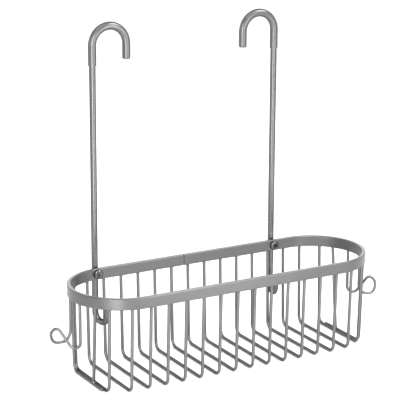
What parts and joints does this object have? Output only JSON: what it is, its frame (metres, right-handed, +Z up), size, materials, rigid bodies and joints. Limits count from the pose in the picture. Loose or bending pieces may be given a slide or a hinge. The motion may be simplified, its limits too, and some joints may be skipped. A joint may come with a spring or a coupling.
{
  "type": "shower caddy",
  "caption": "Long wire shower basket under a flat oval rim, with an eyelet hook at each end, hung from two tall hooked rods screwed to the back of the rim.",
  "frame": {"origin": "Centre of the whole object's box in X and Y, at the underside of the floor wires that the basket stands on.", "axes": "+X along the basket to the right seen from the front, +Y from the front to the back where the hanger rods are, +Z up."},
  "size_m": [0.349, 0.107, 0.3237],
  "materials": {
    "band": "satin grey anodised flat bar, finely brushed",
    "wire": "satin grey anodised round wire",
    "rod": "satin grey anodised round rod",
    "sleeve": "smooth grey soft vinyl sleeve with a low gloss",
    "screw": "polished button-head screw"
  },
  "bodies": {
    "basket": {"rim_band": "band", "basket_wire_01": "wire", "basket_wire_02": "wire", "basket_wire_03": "wire", "basket_wire_04": "wire", "basket_wire_05": "wire", "basket_wire_06": "wire", "basket_wire_07": "wire", "basket_wire_08": "wire", "basket_wire_09": "wire", "basket_wire_10": "wire", "basket_wire_11": "wire", "basket_wire_12": "wire", "basket_wire_13": "wire", "basket_wire_14": "wire", "basket_wire_15": "wire", "basket_wire_16": "wire", "end_frame_left": "wire", "end_wire_left": "wire", "side_hook_left": "wire", "end_frame_right": "wire", "end_wire_right": "wire", "side_hook_right": "wire"},
    "left_hanger": {"hanger_rod_left": "rod", "hook_sleeve_left": "sleeve", "hanger_screw_left": "screw"},
    "right_hanger": {"hanger_rod_right": "rod", "hook_sleeve_right": "sleeve", "hanger_screw_right": "screw"}
  },
  "joints": [
    {"name": "left_hanger_pivot", "type": "hinge", "parent": "basket", "child": "left_hanger", "pos_m": [-0.1067, 0.04977, 0.0865], "axis": [0, 1, 0], "range_deg": [0, 8]},
    {"name": "right_hanger_pivot", "type": "hinge", "parent": "basket", "child": "right_hanger", "pos_m": [0.0885, 0.04978, 0.0865], "axis": [0, -1, 0], "range_deg": [0, 8]}
  ]
}
